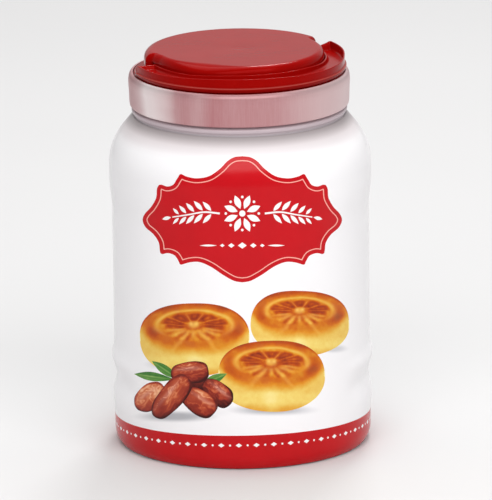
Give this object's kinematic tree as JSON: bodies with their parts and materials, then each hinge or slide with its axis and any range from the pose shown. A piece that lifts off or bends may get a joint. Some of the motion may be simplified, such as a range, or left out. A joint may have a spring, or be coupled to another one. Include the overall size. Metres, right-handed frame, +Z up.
{
  "type": "maamoul cookie jar",
  "caption": "Large shut plastic jar of date-filled biscuits: printed white sleeve, satin neck band and a red cap with a carry handle folded flat.",
  "frame": {"origin": "centre of the standing ring, on the surface the jar stands on", "axes": "+Z up along the jar's axis, -Y towards the front of the print, +X to its right seen from the front"},
  "size_m": [0.1532, 0.1514, 0.2346],
  "materials": {
    "white_plastic": "glossy moulded plastic",
    "printed_film": "glossy printed film, mostly white, with a red base band, a red panel and food pictures",
    "satin_band": "satin metallic, pale silver pink",
    "red_plastic": "glossy moulded plastic"
  },
  "bodies": {
    "root": {"jar_body": "white_plastic", "label_sleeve": "printed_film", "neck_band": "satin_band", "cap": "red_plastic", "cap_handle": "red_plastic"}
  },
  "joints": []
}
